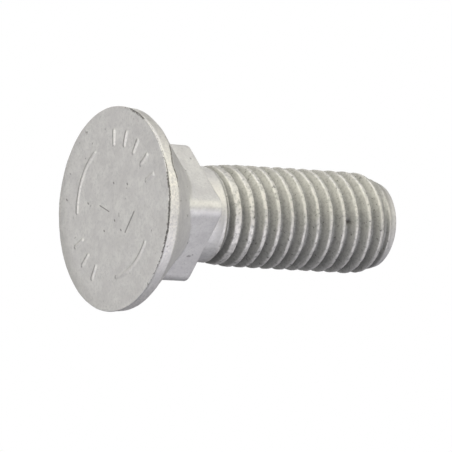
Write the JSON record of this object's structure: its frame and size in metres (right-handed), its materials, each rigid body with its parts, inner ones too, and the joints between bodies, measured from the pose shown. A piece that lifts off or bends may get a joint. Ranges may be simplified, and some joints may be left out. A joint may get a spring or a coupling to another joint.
{
  "type": "plough bolt",
  "caption": "Galvanised steel plough bolt: flat countersunk head, short square neck that stops it turning, and a coarse right-hand thread with a pointed end.",
  "frame": {"origin": "centre of the head's flat face, which is the face that the bolt stands on", "axes": "+Z along the bolt's axis, from the head's face to the thread's pointed end; the flats of the square neck face +X, -X, +Y and -Y"},
  "size_m": [0.0196, 0.0196, 0.03],
  "materials": {
    "zinc_coated_steel": "matt hot-dip galvanised"
  },
  "bodies": {
    "root": {"bolt": "zinc_coated_steel"}
  },
  "joints": []
}
